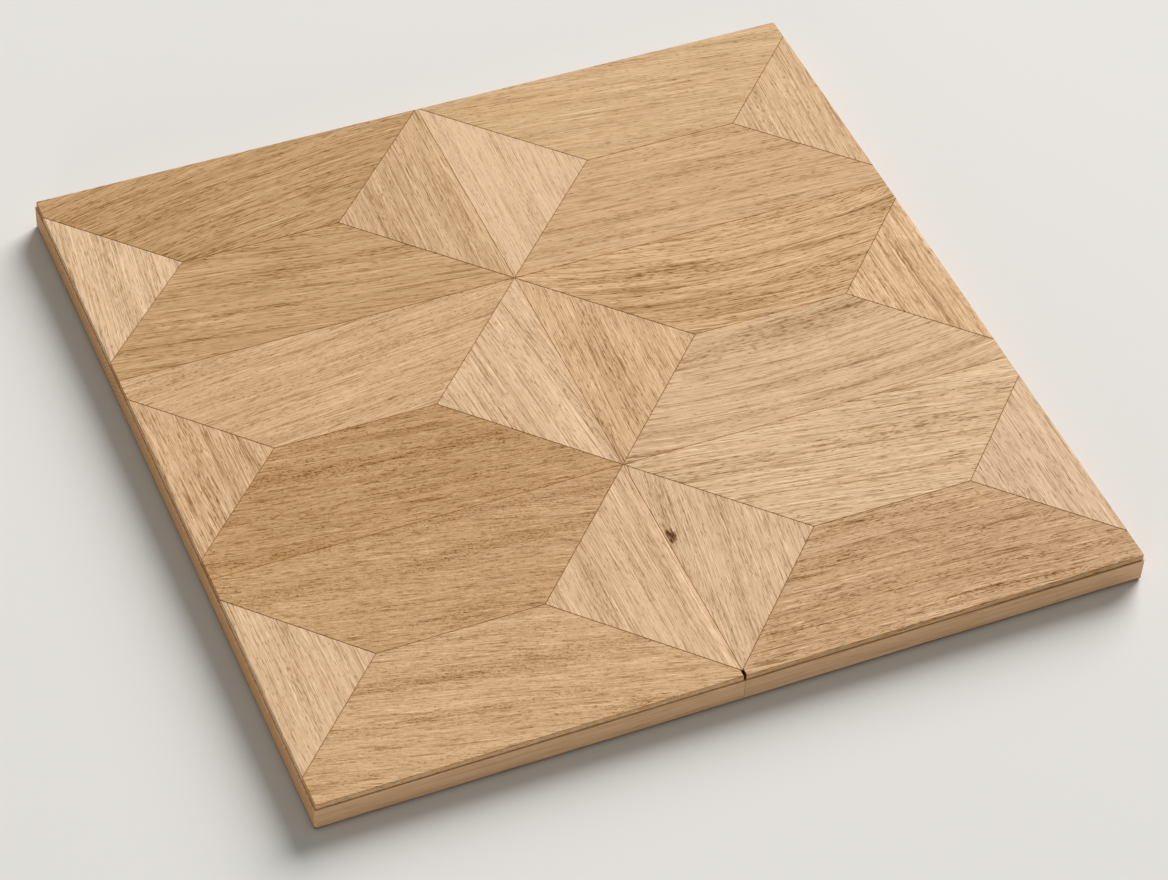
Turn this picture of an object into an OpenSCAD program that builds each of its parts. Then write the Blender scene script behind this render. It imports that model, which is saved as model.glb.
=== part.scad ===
// Square block of geometric oak parquet: a wearing layer of mitred boards and triangles on a two-board base.
// The origin is in the middle of the underside, with X along the front edge and Y towards the back.

/* [Pattern] */
// Width of each long board, which is also half the diagonal of a square
board_w = 82.5; // [60:0.5:120]
// Length of the shorter of a board's two parallel sides
board_short = 100; // [60:1:260]
// Length of the flat that the panel's edge leaves on the point of each board
end_flat = 15; // [5:0.5:40]
// Width of the plain strip between the foremost square's tip and the front edge
front_strip = 5; // [3:0.5:20]
// Number of squares along the middle seam
squares = 3; // [1:1:6]

/* [Wearing layer] */
// Thickness of the boards and triangles on top
wear_t = 4; // [2.5:0.5:8]
// Gap between neighbouring pieces
seam_gap = 0.15; // [0.05:0.05:0.6]
// Width of the bevel round the top of each piece
bevel = 0.25; // [0.1:0.05:1]
// Width of the open notch between the two front boards
notch_w = 1.6; // [0.8:0.2:3]

/* [Base] */
// Thickness of the two base boards
base_t = 16; // [8:0.5:30]
// Gap in the butt joint between the two base boards
base_gap = 0.2; // [0.1:0.05:0.6]
// How far the base stands out past the wearing layer on every side
ledge = 1; // [0.5:0.1:3]
// Width of the bevel along the base's lower outer edges
lower_arris = 1.5; // [0.5:0.25:4]
// Width of the bevel along the base's upper outer edges
upper_arris = 0.4; // [0.2:0.1:0.5]
// Radius of the base's four upright corners
corner_r = 2; // [1:0.5:6]

/* [Hidden] */
// Distances from the middle seam: a square's side tip, an edge triangle's tip, a board's untrimmed point
square_x = board_w;
tip_x = square_x + board_short;
point_x = tip_x + board_w;

panel_w = 2 * (point_x - end_flat);
panel_d = front_strip + 2 * squares * board_w;
front_y = -panel_d / 2;

// The outline trims whatever a cell has beyond the panel's edge, so cells run past it by this much
overrun = 10;

light_oak = "#D7B48D";
medium_oak = "#C8A379";
dark_oak = "#BE966B";
base_oak = "#C8A67F";
// Tones of the boards from the front row to the back row, repeated in a panel with more rows
left_tones = [medium_oak, medium_oak, dark_oak, light_oak, medium_oak, dark_oak];
right_tones = [dark_oak, light_oak, light_oak, dark_oak, medium_oak, light_oak];

sides = ["left", "right"];
rows = [1 : 2 * squares];
repeats = [1 : squares];

$fn = 32;

// Y of a cross seam, counted from the foremost square's tip, one board's width apart
function seam_y(k) = front_y + front_strip + k * board_w;

// Corners of a board on the right side, with rows counted from the front.
// Its long side lies on an even seam, at the tips of the squares, and its short side on an odd one.
function board_cell(row) =
    let (long_y = seam_y(2 * floor(row / 2)), short_y = seam_y(2 * ceil(row / 2) - 1))
    row == 1 ? front_cell(long_y, short_y)
             : [[0, long_y], [point_x, long_y], [tip_x, short_y], [square_x, short_y]];

// The front board also covers the strip in front of the squares, and ends at the notch
function front_cell(long_y, short_y) = [
    [notch_w / 2, front_y - overrun], [point_x, front_y - overrun], [point_x, long_y],
    [tip_x, short_y], [square_x, short_y], [notch_w / 2, long_y + notch_w / 2]
];

function edge_triangle_cell(n) =
    [[tip_x, seam_y(2 * n - 1)], [point_x, seam_y(2 * n - 2)], [point_x, seam_y(2 * n)]];

function middle_triangle_cell(n) =
    [[square_x, seam_y(2 * n - 1)], [0, seam_y(2 * n)], [0, seam_y(2 * n - 2)]];

// Plan of the whole base, with rounded corners
module base_outline() {
    square([panel_w, panel_d - 2 * corner_r], center = true);
    square([panel_w - 2 * corner_r, panel_d], center = true);
    for (x = [-1, 1], y = [-1, 1])
        translate([x * (panel_w / 2 - corner_r), y * (panel_d / 2 - corner_r)])
            circle(corner_r);
}

// Section across the base, with bevelled outer edges
module base_section(width) {
    polygon([
        [-width / 2 + lower_arris, 0], [width / 2 - lower_arris, 0],
        [width / 2, lower_arris], [width / 2, base_t - upper_arris],
        [width / 2 - upper_arris, base_t], [-width / 2 + upper_arris, base_t],
        [-width / 2, base_t - upper_arris], [-width / 2, lower_arris]
    ]);
}

// Draws its children as modelled on the right side, or mirrored to the left side
module on_side(side) {
    if (side == "left") mirror([1, 0, 0]) children();
    else children();
}

// One base board: half of the plan, cut to the bevelled section in both directions
module base_board(side) {
    color(base_oak)
    on_side(side)
    intersection() {
        linear_extrude(base_t)
            intersection() {
                base_outline();
                translate([base_gap / 2, front_y]) square([panel_w / 2, panel_d]);
            }
        rotate([90, 0, 0])
            linear_extrude(panel_d, center = true)
                base_section(panel_w);
        rotate([90, 0, 90])
            linear_extrude(panel_w, center = true)
                base_section(panel_d);
    }
}

// Plan of one piece of the wearing layer: its cell less half a seam all round, trimmed by the panel's edge
module piece_plan(cell) {
    intersection() {
        offset(delta = -seam_gap / 2) polygon(cell);
        offset(delta = -ledge) base_outline();
    }
}

// One piece of the wearing layer, lying on the base, with a bevel round its top
module oak_piece(side, cell, tone) {
    color(tone)
    on_side(side)
    translate([0, 0, base_t])
    hull() {
        linear_extrude(wear_t - bevel) piece_plan(cell);
        linear_extrude(wear_t) offset(delta = -bevel) piece_plan(cell);
    }
}

module board(side, row) {
    tones = side == "left" ? left_tones : right_tones;
    oak_piece(side, board_cell(row), tones[(row - 1) % len(tones)]);
}

module edge_triangle(side, n) {
    oak_piece(side, edge_triangle_cell(n), light_oak);
}

module middle_triangle(side, n) {
    oak_piece(side, middle_triangle_cell(n), light_oak);
}

for (side = sides)
    base_board(side);
for (side = sides, row = rows)
    board(side, row);
for (side = sides, n = repeats)
    edge_triangle(side, n);
for (side = sides, n = repeats)
    middle_triangle(side, n);
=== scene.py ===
"""Looks of a square oak parquet block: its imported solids, with procedural oak on every face, on a pale floor."""
import itertools
import math

import bpy
from mathutils import Matrix, Vector


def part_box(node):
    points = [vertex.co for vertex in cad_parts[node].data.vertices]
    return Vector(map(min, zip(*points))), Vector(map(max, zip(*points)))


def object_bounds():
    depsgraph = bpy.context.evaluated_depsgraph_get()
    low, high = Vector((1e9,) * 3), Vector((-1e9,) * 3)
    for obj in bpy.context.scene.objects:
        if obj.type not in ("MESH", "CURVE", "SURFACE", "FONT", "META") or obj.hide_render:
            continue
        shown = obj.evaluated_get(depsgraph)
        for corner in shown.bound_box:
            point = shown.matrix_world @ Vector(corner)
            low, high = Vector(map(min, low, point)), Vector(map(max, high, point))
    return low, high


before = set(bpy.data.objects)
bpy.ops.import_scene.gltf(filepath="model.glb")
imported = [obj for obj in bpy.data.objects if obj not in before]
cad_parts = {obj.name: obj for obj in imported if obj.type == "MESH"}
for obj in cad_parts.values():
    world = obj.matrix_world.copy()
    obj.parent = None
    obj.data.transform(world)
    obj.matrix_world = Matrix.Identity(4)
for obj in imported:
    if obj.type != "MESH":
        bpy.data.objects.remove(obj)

CAD_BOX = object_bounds()
MM = 0.001

# Camera, fitted to the corners and seams of the panel in the photograph
SENSOR_W = 36.0
LENS = 111.55
CAMERA_TARGET = Vector((-13.4, -54.3, 20.0)) * MM
CAMERA_DISTANCE = 2.0916
CAMERA_AZIMUTH, CAMERA_ELEVATION, CAMERA_ROLL = -25.44, 46.28, 3.5

# Stage and lights
FLOOR_COLOUR = "#F0EDEB"
FLOOR_SIZE = 8.0
FLOOR_ROUGHNESS, FLOOR_SPECULAR = 0.9, 0.1
SKY_COLOUR = (0.955, 0.995, 0.92, 1.0)
SKY_STRENGTH = 0.22
LAMP_COLOUR = (1.0, 0.99, 0.975)
# Each lamp's direction from the panel, its distance, its width and its power
LAMPS = {
    "key": (Vector((0.82, 0.70, 0.58)), 16.0, 11.2, 3880.0),
    "fill": (Vector((-0.75, -1.0, 0.16)), 4.0, 1.4, 29.0),
}

# Height of the base, where the wearing layer starts, in mm
BASE_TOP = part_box("base_left")[1].z / MM
# Distances from the middle, in mm, up to which a point is inside the panel and past which it is on an outer side
INSIDE, OUTSIDE = CAD_BOX[1].x / MM - 1.8, CAD_BOX[1].x / MM - 1.2
# The notch in the front edge runs to this Y, in mm
NOTCH_END = CAD_BOX[0].y / MM + 7.0

# Seeds move each piece to its own part of the noise, this far apart in mm
SEED_STEP = Vector((731.0, 397.0, 241.0))
# Tones and tints are written as they look, and this power turns them into linear light
DISPLAY_GAMMA = 2.2
# The darkest that oak gets, in a knot, written like a tone
DARKEST = (0.30, 0.19, 0.175)
# Light that the surface itself reflects whatever its colour, taken off the colour so that dark grain stays brown
SURFACE_LIGHT = 0.02
OAK_SPECULAR = 0.12
WOOD_ROUGHNESS, PORE_ROUGHNESS = 0.60, 0.80
# Depth of the grain's relief in mm, and how strongly it shows
RELIEF_DEPTH, RELIEF_STRENGTH = 0.10, 0.5
# Shares of the surface that rings and pores cover, added back so that they leave the mean tone as it is
RING_SHARE, PORE_SHARE = 0.14, 0.10
# Spacing in mm of the rings on sawn ends, their mean, and their depth in levels out of 255
END_RING, END_MEAN, END_DEPTH = 2.6, 0.35, 22.0
# How much of the grain's contrast the upright sides lose, and how much more the sawn ends lose
SIDE_CALM, END_CALM = 0.35, 0.25

# Factors on red, green and blue in places that are darker or paler than the rest of a piece: sawn ends, painted
# shadow along the foot of the base, painted light on its ledge, and painted shade on its covered top and on the outer
# back and right sides
BASE_TINTS = {"foot": (0.58, 0.56, 0.54), "ledge": (1.12, 1.12, 1.12), "covered": (0.55, 0.45, 0.35),
              "end": (1.0, 0.95, 0.88), "shaded_back_right": (0.80, 0.81, 0.84)}
# Painted shade on the bevels, along the foot of the wearing layer and on the walls of the notch, where the parts
# meet.
# The bevels' painted shade is lighter along the seams between two boards and along the middle seam. Sawn ends are
# darker, and the outer back and right sides get painted shade.
TOP_TINTS = {"bevel": (0.91, 0.86, 0.79), "seam": (0.975, 1.0, 1.04), "joint": (0.64, 0.60, 0.56),
             "notch": (0.60, 0.50, 0.40), "end": (1.0, 0.94, 0.84), "shaded_back_right": (0.80, 0.81, 0.84)}


def srgb(code):
    """Red, green and blue from 0 to 1, as they are written in a code such as #D7B48D."""
    return [int(code[i:i + 2], 16) / 255 for i in (1, 3, 5)]


def linear(code):
    """RGBA in linear light from an sRGB code."""
    return [c / 12.92 if c <= 0.04045 else ((c + 0.055) / 1.055) ** 2.4 for c in srgb(code)] + [1.0]


class Nodes:
    """Adds shader nodes to one tree. A value may be a number, a tuple or another node's output."""

    def __init__(self, tree):
        self.tree = tree

    def add(self, kind, inputs=None, **settings):
        made = self.tree.nodes.new(kind)
        for name, value in settings.items():
            setattr(made, name, value)
        for name, value in (inputs or {}).items():
            self.feed(made.inputs[name], value)
        return made

    def feed(self, socket, value):
        if isinstance(value, bpy.types.NodeSocket):
            self.tree.links.new(value, socket)
        else:
            socket.default_value = value

    def math(self, operation, a, b=0.0, c=0.0):
        return self.add("ShaderNodeMath", {0: a, 1: b, 2: c}, operation=operation).outputs[0]

    def total(self, *terms):
        """Sum of (value, weight) pairs."""
        result = 0.0
        for value, weight in terms:
            result = self.math("MULTIPLY_ADD", value, weight, result)
        return result

    def product(self, first, *others):
        for value in others:
            first = self.math("MULTIPLY", first, value)
        return first

    def vector(self, operation, a, b=(0, 0, 0)):
        made = self.add("ShaderNodeVectorMath", {0: a, 1: b}, operation=operation)
        return made.outputs["Value" if operation == "LENGTH" else "Vector"]

    def parts(self, vector):
        return self.add("ShaderNodeSeparateXYZ", {0: vector}).outputs

    def sideways(self, parts):
        """The larger of a vector's X and Y, whatever their signs."""
        return self.math("MAXIMUM", self.math("ABSOLUTE", parts["X"]), self.math("ABSOLUTE", parts["Y"]))

    def joined(self, x=0.0, y=0.0, z=0.0):
        return self.add("ShaderNodeCombineXYZ", {0: x, 1: y, 2: z}).outputs[0]

    def turned(self, place, angle):
        """place turned about Z by angle, in radians."""
        return self.add("ShaderNodeVectorRotate", {"Vector": place, "Angle": angle},
                        rotation_type="Z_AXIS").outputs[0]

    def ramp(self, value, low, high, to_low=0.0, to_high=1.0):
        """value from low..high, smoothly to to_low..to_high."""
        return self.add("ShaderNodeMapRange", {"Value": value, "From Min": low, "From Max": high,
                                               "To Min": to_low, "To Max": to_high},
                        interpolation_type="SMOOTHSTEP").outputs["Result"]

    def noise(self, place, size, detail=2.0, roughness=0.5):
        """Noise from -1 to 1, whose features are size mm long in each direction."""
        scaled = self.vector("DIVIDE", place, size)
        fac = self.add("ShaderNodeTexNoise", {"Vector": scaled, "Scale": 1.0, "Detail": detail,
                                              "Roughness": roughness}).outputs["Fac"]
        return self.math("MULTIPLY_ADD", fac, 2.0, -1.0)

    def spot(self, place, centre, size, angle, core=0.3):
        """1 at centre, fading to 0 at the rim of an ellipse of this size in mm, turned by angle in degrees."""
        offset = self.turned(self.vector("SUBTRACT", place, (*centre, 0.0)), -math.radians(angle))
        reach = self.vector("LENGTH", self.vector("MULTIPLY", offset, (2 / size[0], 2 / size[1], 0.0)))
        return self.ramp(reach, core, 1.0, 1.0, 0.0)

    def threads(self, place, size, width):
        """Thin straight dark lines with a pale rim, from -1 to 1, broken into lengths of about size[0]."""
        value = self.noise(place, (6 * size[0], *size[1:]), 1)
        dark = self.ramp(self.math("ABSOLUTE", value), 0.2 * width, width, 1.0, 0.0)
        rim = self.math("ABSOLUTE", self.math("SUBTRACT", value, 1.7 * width))
        pale = self.ramp(rim, 0.1 * width, width, 1.0, 0.0)
        broken = self.ramp(self.noise(place, size, 1), -0.18, 0.28, 0.05, 1.0)
        return self.math("MULTIPLY", self.total((pale, 0.6), (dark, -1.15)), broken)


def oak_pattern():
    """Node group for sawn oak. Place is in mm from the middle of the piece, with X along the grain."""
    group = bpy.data.node_groups.new("oak_pattern", "ShaderNodeTree")
    for name, kind in (("Place", "NodeSocketVector"), ("Seed", "NodeSocketVector"), ("Pith", "NodeSocketVector"),
                       ("Ring", "NodeSocketFloat"), ("Wave", "NodeSocketFloat"), ("Bend", "NodeSocketFloat"),
                       ("Lean", "NodeSocketFloat"), ("Stroke", "NodeSocketVector")):
        group.interface.new_socket(name, in_out="INPUT", socket_type=kind)
    for name in ("Bands", "Streaks", "Fibre", "Rings", "Pores", "Blush", "Ends"):
        group.interface.new_socket(name, in_out="OUTPUT", socket_type="NodeSocketFloat")
    n = Nodes(group)
    given = n.add("NodeGroupInput").outputs

    # The grain sweeps to one side towards the ends of the piece, and waves slowly along it
    x = n.parts(given["Place"])["X"]
    sweep = n.product(x, x, given["Bend"])
    seeded = n.vector("ADD", given["Place"], given["Seed"])
    wave = n.math("MULTIPLY", n.noise(seeded, (130, 40, 40), 1), given["Wave"])
    shift = n.joined(0.0, n.math("SUBTRACT", wave, sweep), 0.0)
    local = n.vector("ADD", given["Place"], shift)
    place = n.vector("ADD", local, given["Seed"])

    # The growth rings are cylinders round the pith: a thin dark line of vessels, then slowly paler wood
    across = n.vector("MULTIPLY", n.vector("SUBTRACT", local, given["Pith"]), (0.06, 1, 1))
    radius = n.math("MULTIPLY_ADD", n.noise(place, (24, 5, 5), 2), 0.9, n.vector("LENGTH", across))
    phase = n.math("FRACT", n.math("DIVIDE", radius, given["Ring"]))
    line = n.product(n.ramp(phase, 0.0, 0.10), n.ramp(phase, 0.14, 0.50, 1.0, 0.0))
    strength = n.ramp(n.noise(place, (90, 14, 14), 1), -0.35, 0.40)
    rings = n.product(line, strength)

    # On sawn ends every ring shows, closely spaced
    close = n.math("FRACT", n.math("DIVIDE", radius, END_RING))
    ends = n.product(n.ramp(close, 0.0, 0.25), n.ramp(close, 0.30, 1.0, 1.0, 0.0))

    # The fibre leans a little from the bands: long thin lines, shorter finer ones, and a faint haze
    leaning = n.vector("DIVIDE", n.turned(place, given["Lean"]), given["Stroke"])
    long_lines = n.threads(leaning, (36, 2.5, 2.5), 0.12)
    short_lines = n.threads(leaning, (12, 1.6, 1.6), 0.16)
    haze = n.noise(leaning, (9, 1.0, 1.0), 1)
    fibre = n.total((long_lines, 0.9), (short_lines, 1.0), (haze, 0.8))
    vessels = n.noise(leaning, (4.5, 0.75, 0.75), 0)
    crowd = n.total((rings, 0.25), (n.noise(place, (46, 5, 5), 1), 0.15), (vessels, 1.0))
    pores = n.ramp(crowd, 0.37, 0.48)

    n.add("NodeGroupOutput", {
        "Bands": n.noise(place, (240, 11, 11), 2), "Streaks": n.noise(place, (110, 2.2, 2.2), 2, 0.55),
        "Fibre": fibre, "Rings": rings, "Pores": pores, "Blush": n.noise(place, (60, 9, 9), 1), "Ends": ends})
    return group


def places(n, facing, position, grain):
    """Masks from 0 to 1 for the places of a piece that have their own tint, painted shade, painted light or relief.
    facing and position hold X, Y and Z, and position is in mm. The foot leaves the underside out, and a seam is one
    along X or Y."""
    height = position["Z"]
    inside = n.ramp(n.sideways(position), INSIDE, OUTSIDE, 1.0, 0.0)
    upright = n.ramp(n.math("ABSOLUTE", facing["Z"]), 0.1, 0.5, 1.0, 0.0)
    bevel = n.product(n.ramp(facing["Z"], 0.30, 0.55), n.ramp(facing["Z"], 0.80, 0.98, 1.0, 0.0))
    back_or_right = n.ramp(n.math("MAXIMUM", facing["X"], facing["Y"]), 0.30, 0.65)
    return {
        "upright": upright,
        "end": n.ramp(n.math("ABSOLUTE", facing["Y" if grain else "X"]), 0.6, 0.9),
        # Painted shadow along the foot of the base, just above the floor
        "foot": n.product(n.ramp(height, 1.7, 2.6, 1.0, 0.0), n.ramp(facing["Z"], -0.95, -0.80)),
        # Painted light on the base's ledge
        "ledge": n.ramp(height, BASE_TOP - 0.6, BASE_TOP - 0.3),
        # Painted shade on the base's covered top
        "covered": n.product(inside, n.ramp(height, BASE_TOP - 0.3, BASE_TOP - 0.1)),
        # Painted shade along the foot of the wearing layer
        "joint": n.ramp(height, BASE_TOP + 0.4, BASE_TOP + 0.8, 1.0, 0.0),
        # Painted shade on the bevels, lighter along the seams
        "bevel": bevel,
        "seam": n.product(bevel, n.ramp(n.sideways(facing), 0.54, 0.66), inside),
        # Painted shade on the walls of the notch
        "notch": n.product(upright, inside, n.ramp(position["Y"], NOTCH_END, NOTCH_END + 1.0, 1.0, 0.0)),
        # Painted shade on the outer back and right sides
        "shaded_back_right": n.product(back_or_right, n.math("SUBTRACT", 1.0, inside)),
    }


def oak(name, tone, group, seed, grain=0.0, tilt=0.0, lean=0.0, bend=0.0, stroke=1.0, fine=1.0, ring=9.0,
        wave=3.0, pith=(25.0, -70.0), depth=1.0, bands=4.0, streaks=9.0, fibre=27.0, rings=8.0, pores=30.0, blush=0.8,
        rim=1.0, marks=(), knot=()):
    """Oak of one piece. tilt and lean turn its bands and its fibre from the grain, in degrees. stroke and fine
    scale the fibre's length and width. bands to pores are the depths of its markings, in levels out of 255. rim
    lightens the painted shade on the bevels along its straight seams. marks are its own darker streaks and knot the
    spots of its knot, each at x, y with a length, width, angle and depth."""
    material = bpy.data.materials.new(name)
    material.use_nodes = True
    n = Nodes(material.node_tree)
    shader = material.node_tree.nodes["Principled BSDF"]
    texture = n.add("ShaderNodeTexCoord").outputs
    mm = n.vector("MULTIPLY", texture["Object"], (1 / MM, 1 / MM, 1 / MM))
    low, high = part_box(name)
    centred = n.vector("SUBTRACT", mm, tuple((low + high) / 2 / MM))
    wood = n.add("ShaderNodeGroup", node_tree=group)
    values = {"Place": n.turned(centred, -math.radians(grain + tilt)), "Seed": tuple(SEED_STEP * seed),
              "Pith": (0.0, *pith), "Ring": ring, "Wave": wave, "Bend": bend / 1000, "Lean": -math.radians(lean),
              "Stroke": (stroke, fine, fine)}
    for key, value in values.items():
        n.feed(wood.inputs[key], value)
    mark = wood.outputs

    level = depth / 255
    shade = n.total((mark["Bands"], bands * 2 * level), (mark["Streaks"], streaks * 2 * level),
                    (mark["Fibre"], fibre * level), (mark["Rings"], -rings * level),
                    (mark["Pores"], -pores * level))
    shade = n.math("ADD", shade, (rings * RING_SHARE + pores * PORE_SHARE) * level)

    # The sides are smoother than the top, and rings show on the ends
    masks = places(n, n.parts(texture["Normal"]), n.parts(mm), grain)
    calm = n.total((masks["upright"], -SIDE_CALM), (masks["end"], -END_CALM), (1.0, 1.0))
    sawn = n.product(masks["end"], n.math("SUBTRACT", mark["Ends"], END_MEAN))
    shade = n.total((n.product(shade, calm), 1.0), (sawn, -END_DEPTH * level))
    if marks or knot:
        ragged = n.vector("ADD", mm, n.vector("MULTIPLY", n.joined(mark["Fibre"], mark["Streaks"]), (0.3, 0.9, 0.0)))
        streaky = n.ramp(mark["Streaks"], -0.30, 0.15, 1.3, 0.3)
        for x, y, length, width, angle, deep in marks:
            spot = n.product(n.spot(ragged, (x, y), (length, width), angle), streaky)
            shade = n.math("MULTIPLY_ADD", spot, -deep / 255, shade)
        for x, y, length, width, angle, deep in knot:
            spot = n.spot(ragged, (x, y), (length, width), angle, 0.5)
            shade = n.math("MULTIPLY_ADD", spot, -deep / 255, shade)
    blush = n.math("MULTIPLY", mark["Blush"], blush * level)
    change = n.joined(n.math("ADD", shade, blush), shade, n.math("SUBTRACT", shade, blush))
    colour = n.vector("MAXIMUM", n.vector("ADD", change, tuple(srgb(tone))), DARKEST)
    # Sawn ends are darker; every other tint by place is painted shade or painted light
    for place, factors in (BASE_TINTS if name.startswith("base") else TOP_TINTS).items():
        if place == "seam":
            factors = [rim * factor for factor in factors]
        tint = n.joined(*(n.math("MULTIPLY_ADD", masks[place], factor - 1.0, 1.0) for factor in factors))
        colour = n.vector("MULTIPLY", colour, tint)

    linear_colour = n.add("ShaderNodeGamma", {"Color": colour, "Gamma": DISPLAY_GAMMA}).outputs[0]
    n.feed(shader.inputs["Base Color"], n.vector("SUBTRACT", linear_colour, (SURFACE_LIGHT,) * 3))
    n.feed(shader.inputs["Roughness"], n.ramp(mark["Pores"], 0.0, 1.0, WOOD_ROUGHNESS, PORE_ROUGHNESS))
    shader.inputs["Specular IOR Level"].default_value = OAK_SPECULAR
    relief = n.product(n.total((mark["Fibre"], 0.3), (mark["Pores"], -1.0)), calm)
    bump = n.add("ShaderNodeBump", {"Strength": RELIEF_STRENGTH, "Distance": RELIEF_DEPTH * MM, "Height": relief})
    n.feed(shader.inputs["Normal"], bump.outputs["Normal"])
    return material


def dress(name, look):
    """Gives the CAD node of this name its own oak."""
    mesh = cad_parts[name].data
    mesh.materials.clear()
    mesh.materials.append(oak(name, group=OAK, seed=next(SEEDS), **look))


def add_floor():
    bpy.ops.mesh.primitive_plane_add(size=FLOOR_SIZE, location=(0, 0, 0))
    floor = bpy.context.object
    floor.name = "floor"
    material = bpy.data.materials.new("floor")
    material.use_nodes = True
    shader = material.node_tree.nodes["Principled BSDF"]
    shader.inputs["Base Color"].default_value = linear(FLOOR_COLOUR)
    shader.inputs["Roughness"].default_value = FLOOR_ROUGHNESS
    shader.inputs["Specular IOR Level"].default_value = FLOOR_SPECULAR
    floor.data.materials.append(material)


def add_light():
    world = bpy.data.worlds.new("world")
    bpy.context.scene.world = world
    world.use_nodes = True
    sky = world.node_tree.nodes["Background"]
    sky.inputs["Color"].default_value = SKY_COLOUR
    sky.inputs["Strength"].default_value = SKY_STRENGTH
    for name, (toward, distance, width, power) in LAMPS.items():
        lamp = bpy.data.lights.new(name, "AREA")
        lamp.shape = "DISK"
        lamp.size = width
        lamp.energy = power
        lamp.color = LAMP_COLOUR
        placed = bpy.data.objects.new(name, lamp)
        placed.location = toward.normalized() * distance
        placed.rotation_euler = toward.to_track_quat("Z", "Y").to_euler()
        bpy.context.scene.collection.objects.link(placed)


def add_camera():
    azimuth, elevation = math.radians(CAMERA_AZIMUTH), math.radians(CAMERA_ELEVATION)
    back = Vector((math.sin(azimuth) * math.cos(elevation), -math.cos(azimuth) * math.cos(elevation),
                   math.sin(elevation)))
    data = bpy.data.cameras.new("camera")
    data.sensor_fit = "HORIZONTAL"
    data.sensor_width = SENSOR_W
    data.lens = LENS
    data.clip_start, data.clip_end = 0.05, 50
    camera = bpy.data.objects.new("camera", data)
    turn = (-back).to_track_quat("-Z", "Y").to_matrix() @ Matrix.Rotation(math.radians(CAMERA_ROLL), 3, "Z")
    camera.matrix_world = Matrix.Translation(CAMERA_TARGET + back * CAMERA_DISTANCE) @ turn.to_4x4()
    bpy.context.scene.collection.objects.link(camera)
    bpy.context.scene.camera = camera


bpy.context.scene.view_settings.view_transform = "Standard"
add_camera()
add_light()
add_floor()

OAK = oak_pattern()
SEEDS = itertools.count(1)
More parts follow.
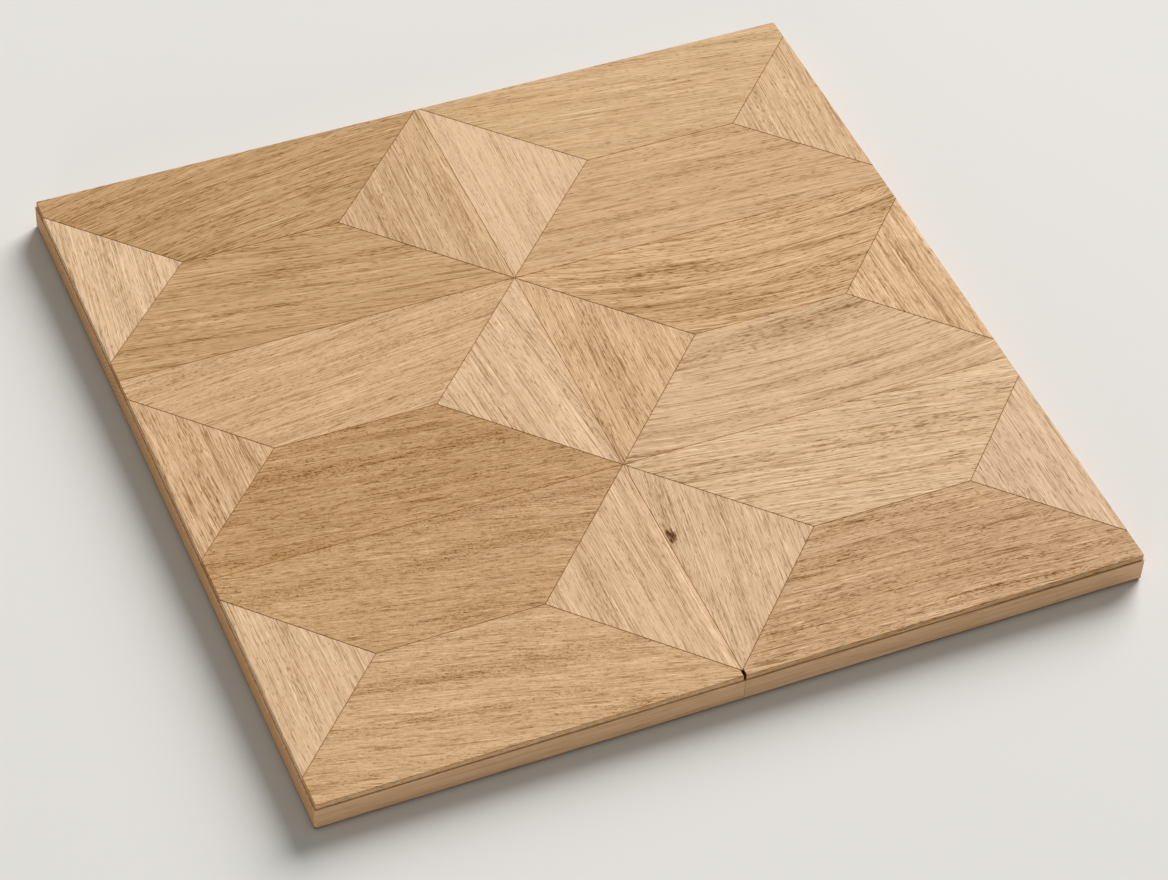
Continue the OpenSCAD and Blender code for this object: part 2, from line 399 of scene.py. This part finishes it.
# Each row of pieces from front to back, with the tone and run of its own grain; rim sets how light the painted shade
# on its seams is
BOARDS = {
    "left": (dict(rim=0.85, tone="#DCB389", tilt=-8, lean=-7, stroke=0.4, fine=0.85,
                  marks=((-132, -198, 160, 9, -15, 12), (-225, -178, 60, 4, -12, 14), (-120, -232, 120, 5, -8, 8))),
             dict(rim=1.28, tone="#D4A97E", tilt=-5, lean=-8, stroke=0.35, fine=0.9,
                  marks=((-192, -101, 90, 3, 8, 16), (-60, -105, 90, 10, -6, 8), (-110, -150, 110, 4, -5, 8))),
             dict(rim=1.3, tone="#CCA074", tilt=-6, lean=-2, stroke=0.4,
                  marks=((-110, -12, 100, 16, -9, 12), (-70, -28, 70, 5, -8, 12), (-190, -72, 110, 6, 0, 8))),
             dict(rim=1.18, tone="#DFB68C", tilt=4, lean=2, stroke=0.6, depth=0.9,
                  marks=((-130, 72, 120, 5, 4, 8), (-190, 52, 90, 4, 4, 7))),
             dict(rim=1.22, tone="#D2A87C", tilt=-5, lean=-4, depth=0.9,
                  marks=((-62, 97, 90, 14, -4, 12), (-150, 125, 50, 4, -9, 14), (-160, 113, 60, 3, -7, 10))),
             dict(rim=1.22, tone="#CDA377", tilt=8, lean=1, bend=-0.45,
                  marks=((-190, 205, 60, 16, 14, 12), (-125, 177, 116, 2, 8, 16), (-160, 171, 26, 4, 6, 14),
                         (-100, 171, 22, 4, 6, 14), (-150, 232, 130, 6, 9, 8)))),
    "right": (dict(rim=0.8, tone="#D2A981", tilt=-6, lean=3, stroke=0.6, fine=0.85, depth=1.2,
                   marks=((70, -195, 110, 8, -4, 10), (150, -215, 120, 5, -8, 10), (120, -178, 90, 4, -4, 10))),
              dict(rim=1.22, tone="#E7C19A", tilt=-6, lean=-3, depth=1.15,
                   marks=((120, -90, 130, 3, -4, 10), (190, -110, 70, 4, 0, 10), (90, -125, 110, 3, -7, 8))),
              dict(rim=1.26, tone="#E1BA93", tilt=1, lean=-3, bend=0.7, depth=0.95, bands=2.5, rings=22.0, ring=10.0,
                   marks=((90, -50, 150, 3, -3, 14), (205, -32, 80, 3, 12, 14), (168, -48, 16, 3, 0, 24),
                          (200, -75, 100, 3, 9, 12), (110, -35, 120, 3, -3, 10))),
              dict(rim=1.3, tone="#DAAF82", tilt=-3.5, lean=-2, bend=1.0, depth=1.2, bands=6.0, streaks=13.0,
                   marks=((85, 34, 110, 26, -14, 14), (180, 50, 110, 4, -2, 26), (190, 38, 80, 4, 6, 24),
                          (120, 15, 90, 12, -8, 12), (60, 60, 80, 5, -15, 14))),
              dict(rim=1.26, tone="#DBB186", tilt=-2, lean=-2, depth=0.8,
                   marks=((150, 125, 150, 3, -6, 9), (120, 108, 120, 3, -4, 9), (190, 150, 80, 3, -6, 8))),
              dict(rim=1.15, tone="#DFB78B", tilt=-5, lean=-2, depth=0.8,
                   marks=((130, 200, 150, 3, -4, 8), (90, 225, 110, 4, -6, 7)))),
}
EDGES = {"left": (dict(tone="#E9C39C"), dict(tone="#E2B990", depth=1.2), dict(tone="#EEC8A2", tilt=-6)),
         "right": (dict(tone="#E9C39F"), dict(tone="#EAC095", depth=1.2,
                                               marks=((238, 35, 20, 4, -30, -18), (240, 28, 12, 4, 80, 20))),
                   dict(tone="#E3BB92", tilt=-4))}
MIDDLES = {"left": (dict(tone="#E9C19B", marks=((-2.2, -104, 26, 3, 90, 30), (-0.6, -208, 20, 1.6, 90, 30))),
                    dict(tone="#ECC59F", tilt=5, marks=((-16, -38, 80, 24, 84, -8),)),
                    dict(tone="#DDB58C", tilt=-2, marks=((-60, 168, 90, 5, 90, 9), (-22, 165, 120, 4, 90, 9)))),
           "right": (dict(tone="#E6C09B", tilt=-9,
                          marks=((4.0, -140.5, 34, 12, 90, 14), (0.6, -208, 20, 1.6, 90, 24)),
                          knot=((2.5, -140.5, 14, 3.6, 92, 66), (3.2, -138.2, 5.5, 2.2, 85, 50),
                                (1.9, -144.8, 5, 2.4, 90, 46), (5.3, -139.9, 13, 2.1, 91, 84),
                                (6.3, -140.0, 6, 2.2, 88, 50), (4.0, -141.0, 8, 2.0, 90, 40))),
                     dict(tone="#E2B98F", tilt=-3, depth=1.15), dict(tone="#EEC7A1", tilt=-2, depth=0.7))}
# What all triangles share: their grain runs from front to back. The base is plainer than the wearing layer.
TRIANGLE = dict(grain=90.0, stroke=1.0, fine=0.8, rim=1.13)
BASE = dict(tone="#DCB48E", stroke=2.5, depth=0.85, fibre=20.0, pores=12.0)

for side in ("left", "right"):
    for kind, shared, rows in (("board", {}, BOARDS), ("edge_triangle", TRIANGLE, EDGES),
                               ("middle_triangle", TRIANGLE, MIDDLES)):
        for row, look in enumerate(rows[side], 1):
            dress(f"{kind}_{side}_{row}", shared | look)
    dress(f"base_{side}", BASE)
